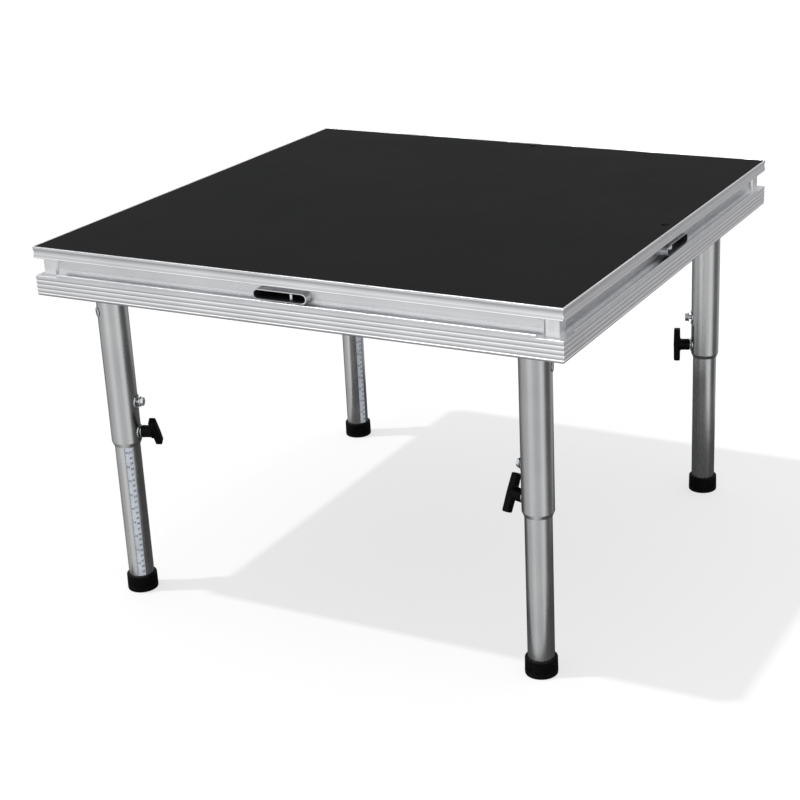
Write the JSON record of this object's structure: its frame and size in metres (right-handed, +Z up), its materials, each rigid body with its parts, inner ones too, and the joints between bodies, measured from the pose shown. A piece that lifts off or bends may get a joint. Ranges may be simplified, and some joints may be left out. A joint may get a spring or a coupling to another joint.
{
  "type": "stage riser platform",
  "caption": "Square decked stage platform with a channelled aluminium frame, hook locks in its sides and telescopic screw-clamped legs on rubber feet.",
  "frame": {"origin": "on the floor, below the centre of the deck", "axes": "+Z up, +X to the right along the front side, +Y to the back"},
  "size_m": [0.914, 0.914, 0.622],
  "materials": {
    "anti_slip_film": "phenolic film, fine anti-slip emboss, matte",
    "birch_plywood": "sealed plywood edge and underside",
    "frame_aluminium": "satin anodised extrusion",
    "cast_aluminium": "sand-cast, lightly tumbled",
    "tube_aluminium": "satin drawn tube",
    "lock_casting": "dark zinc-plated casting",
    "hook_steel": "machined and zinc-plated",
    "bright_steel": "ground pin",
    "zinc_steel": "zinc-plated fastener",
    "black_plastic": "moulded nylon, fine texture",
    "black_rubber": "moulded rubber",
    "printed_tape": "white height tape with dark figures"
  },
  "bodies": {
    "deck": {"anti_slip_surface": "anti_slip_film", "deck_board": "birch_plywood", "corner_angles": "frame_aluminium", "cross_beam_left": "frame_aluminium", "cross_beam_right": "frame_aluminium", "catch_front": "lock_casting", "catch_left": "lock_casting", "catch_pins": "bright_steel", "lock_right": "lock_casting", "lock_rear": "lock_casting", "rail_rivets": "zinc_steel", "board_screws": "zinc_steel", "socket_bolts": "zinc_steel", "front_rail": "frame_aluminium", "right_rail": "frame_aluminium", "rear_rail": "frame_aluminium", "left_rail": "frame_aluminium", "leg_socket_front_left": "cast_aluminium", "leg_socket_front_right": "cast_aluminium", "leg_socket_rear_right": "cast_aluminium", "leg_socket_rear_left": "cast_aluminium"},
    "hook_right": {"hook_right": "hook_steel"},
    "hook_rear": {"hook_rear": "hook_steel"},
    "leg_front_left": {"outer_tube_front_left": "tube_aluminium", "boss_nuts_front_left": "tube_aluminium", "leg_bolts_front_left": "zinc_steel"},
    "leg_extension_front_left": {"inner_tube_front_left": "tube_aluminium", "height_tape_front_left": "printed_tape", "foot_front_left": "black_rubber"},
    "knob_slide_front_left": {"knob_washer_front_left": "zinc_steel"},
    "knob_front_left": {"clamp_knob_front_left": "black_plastic", "clamp_stud_front_left": "zinc_steel"},
    "leg_front_right": {"outer_tube_front_right": "tube_aluminium", "boss_nuts_front_right": "tube_aluminium", "leg_bolts_front_right": "zinc_steel"},
    "leg_extension_front_right": {"inner_tube_front_right": "tube_aluminium", "height_tape_front_right": "printed_tape", "foot_front_right": "black_rubber"},
    "knob_slide_front_right": {"knob_washer_front_right": "zinc_steel"},
    "knob_front_right": {"clamp_knob_front_right": "black_plastic", "clamp_stud_front_right": "zinc_steel"},
    "leg_rear_right": {"outer_tube_rear_right": "tube_aluminium", "boss_nuts_rear_right": "tube_aluminium", "leg_bolts_rear_right": "zinc_steel"},
    "leg_extension_rear_right": {"inner_tube_rear_right": "tube_aluminium", "height_tape_rear_right": "printed_tape", "foot_rear_right": "black_rubber"},
    "knob_slide_rear_right": {"knob_washer_rear_right": "zinc_steel"},
    "knob_rear_right": {"clamp_knob_rear_right": "black_plastic", "clamp_stud_rear_right": "zinc_steel"},
    "leg_rear_left": {"outer_tube_rear_left": "tube_aluminium", "boss_nuts_rear_left": "tube_aluminium", "leg_bolts_rear_left": "zinc_steel"},
    "leg_extension_rear_left": {"inner_tube_rear_left": "tube_aluminium", "height_tape_rear_left": "printed_tape", "foot_rear_left": "black_rubber"},
    "knob_slide_rear_left": {"knob_washer_rear_left": "zinc_steel"},
    "knob_rear_left": {"clamp_knob_rear_left": "black_plastic", "clamp_stud_rear_left": "zinc_steel"}
  },
  "joints": [
    {"name": "hook_right_turn", "type": "hinge", "parent": "deck", "child": "hook_right", "pos_m": [0.438, -0.009, 0.5885], "axis": [0, 0, -1], "range_deg": [0, 106]},
    {"name": "hook_rear_turn", "type": "hinge", "parent": "deck", "child": "hook_rear", "pos_m": [0.009, 0.438, 0.5885], "axis": [0, 0, -1], "range_deg": [0, 106]},
    {"name": "leg_pull_out_front_left", "type": "slide", "parent": "deck", "child": "leg_front_left", "axis": [0, 0, -1], "range_m": [0, 0.1]},
    {"name": "leg_height_front_left", "type": "slide", "parent": "leg_front_left", "child": "leg_extension_front_left", "axis": [0, 0, 1], "range_m": [-0.04, 0.12]},
    {"name": "knob_travel_front_left", "type": "slide", "parent": "leg_front_left", "child": "knob_slide_front_left", "axis": [0.9397, 0.342, 0], "range_m": [0, 0.0038]},
    {"name": "knob_turn_front_left", "type": "hinge", "parent": "knob_slide_front_left", "child": "knob_front_left", "pos_m": [-0.33371, -0.36061, 0.289], "axis": [0.9397, 0.342, 0], "range_deg": [0, 900]},
    {"name": "leg_pull_out_front_right", "type": "slide", "parent": "deck", "child": "leg_front_right", "axis": [0, 0, -1], "range_m": [0, 0.1]},
    {"name": "leg_height_front_right", "type": "slide", "parent": "leg_front_right", "child": "leg_extension_front_right", "axis": [0, 0, 1], "range_m": [-0.04, 0.12]},
    {"name": "knob_travel_front_right", "type": "slide", "parent": "leg_front_right", "child": "knob_slide_front_right", "axis": [-0.9659, 0.2588, 0], "range_m": [0, 0.0038]},
    {"name": "knob_turn_front_right", "type": "hinge", "parent": "knob_slide_front_right", "child": "knob_front_right", "pos_m": [0.33253, -0.36435, 0.289], "axis": [-0.9659, 0.2588, 0], "range_deg": [0, 900]},
    {"name": "leg_pull_out_rear_right", "type": "slide", "parent": "deck", "child": "leg_rear_right", "axis": [0, 0, -1], "range_m": [0, 0.1]},
    {"name": "leg_height_rear_right", "type": "slide", "parent": "leg_rear_right", "child": "leg_extension_rear_right", "axis": [0, 0, 1], "range_m": [-0.04, 0.12]},
    {"name": "knob_travel_rear_right", "type": "slide", "parent": "leg_rear_right", "child": "knob_slide_rear_right", "axis": [-0.9397, -0.342, 0], "range_m": [0, 0.0038]},
    {"name": "knob_turn_rear_right", "type": "hinge", "parent": "knob_slide_rear_right", "child": "knob_rear_right", "pos_m": [0.33371, 0.36061, 0.289], "axis": [-0.9397, -0.342, 0], "range_deg": [0, 900]},
    {"name": "leg_pull_out_rear_left", "type": "slide", "parent": "deck", "child": "leg_rear_left", "axis": [0, 0, -1], "range_m": [0, 0.1]},
    {"name": "leg_height_rear_left", "type": "slide", "parent": "leg_rear_left", "child": "leg_extension_rear_left", "axis": [0, 0, 1], "range_m": [-0.04, 0.12]},
    {"name": "knob_travel_rear_left", "type": "slide", "parent": "leg_rear_left", "child": "knob_slide_rear_left", "axis": [0.7314, 0.682, 0], "range_m": [0, 0.0038]},
    {"name": "knob_turn_rear_left", "type": "hinge", "parent": "knob_slide_rear_left", "child": "knob_rear_left", "pos_m": [-0.34309, 0.40669, 0.289], "axis": [0.7314, 0.682, 0], "range_deg": [0, 900]}
  ],
  "couplings": [
    {"joint": "knob_travel_front_left", "follows": "knob_turn_front_left", "m_per_rad": 0.00023873},
    {"joint": "knob_travel_front_right", "follows": "knob_turn_front_right", "m_per_rad": 0.00023873},
    {"joint": "knob_travel_rear_right", "follows": "knob_turn_rear_right", "m_per_rad": 0.00023873},
    {"joint": "knob_travel_rear_left", "follows": "knob_turn_rear_left", "m_per_rad": 0.00023873}
  ]
}
